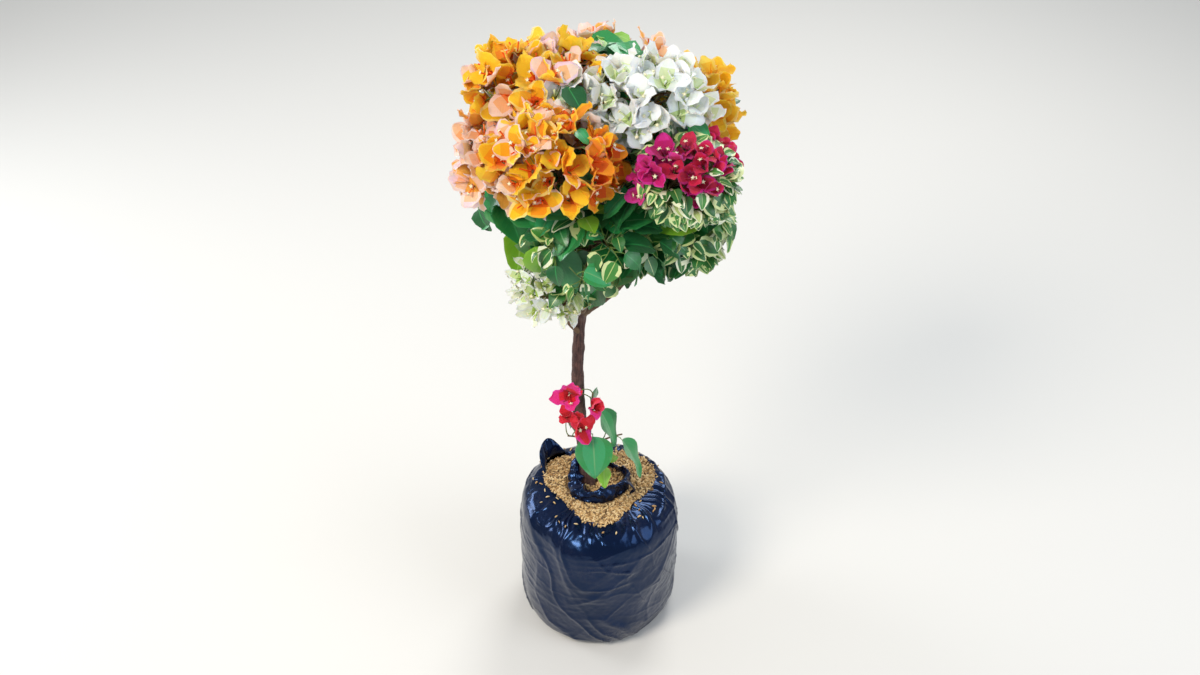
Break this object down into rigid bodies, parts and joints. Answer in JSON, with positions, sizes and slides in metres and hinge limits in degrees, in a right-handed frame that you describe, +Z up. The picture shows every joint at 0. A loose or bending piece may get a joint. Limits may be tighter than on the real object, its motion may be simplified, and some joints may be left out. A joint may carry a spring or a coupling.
{
  "type": "potted bougainvillea bush",
  "caption": "Multi-graft bougainvillea bush with a bowed trunk and a crown of mixed-colour bracts, in a black film grow bag.",
  "frame": {"origin": "middle of the grow bag's flat underside", "axes": "+Z up along the plant; the front of the plant faces -Y and its right is +X"},
  "size_m": [0.3607, 0.3102, 0.9845],
  "materials": {
    "bag_film": "glossy near-black polythene film, creased, with dust low down",
    "sleeve_film": "crumpled glossy near-black polythene film",
    "rice_husk": "dry rice husk, matt straw colour",
    "old_bark": "smooth grey-brown bark with faint lenticels and shallow fissures",
    "young_bark": "brown to green young bark with thorns",
    "orange_bracts": "papery amber-orange bracts with peach edges",
    "peach_bracts": "papery peach bracts",
    "yellow_bracts": "papery yellow bracts",
    "white_bracts": "papery white bracts",
    "magenta_bracts": "papery magenta to crimson bracts",
    "red_bracts": "papery red bracts",
    "green_leaves": "glossy deep green leaves",
    "cream_leaves": "variegated leaves, green with cream margins"
  },
  "bodies": {
    "root": {"grow_bag": "bag_film", "husk_fill": "rice_husk", "foot_sleeve": "sleeve_film", "trunk": "old_bark", "bough_front": "young_bark", "bough_top": "young_bark", "bough_crown_right": "young_bark", "bough_right": "young_bark", "bough_back": "young_bark", "bough_back_right": "young_bark", "bough_back_left": "young_bark", "bough_left": "young_bark", "bough_low_front": "young_bark", "bough_low_right": "young_bark", "bough_low_back": "young_bark", "bough_low_left": "young_bark", "orange_front": "orange_bracts", "orange_top": "orange_bracts", "white_top": "white_bracts", "magenta_right": "magenta_bracts", "peach_back": "peach_bracts", "yellow_back": "yellow_bracts", "white_back": "white_bracts", "peach_left": "peach_bracts", "green_front": "green_leaves", "green_right": "green_leaves", "green_back": "green_leaves", "green_left": "green_leaves", "cream_sprig": "cream_leaves", "red_sprig": "red_bracts"}
  },
  "joints": []
}
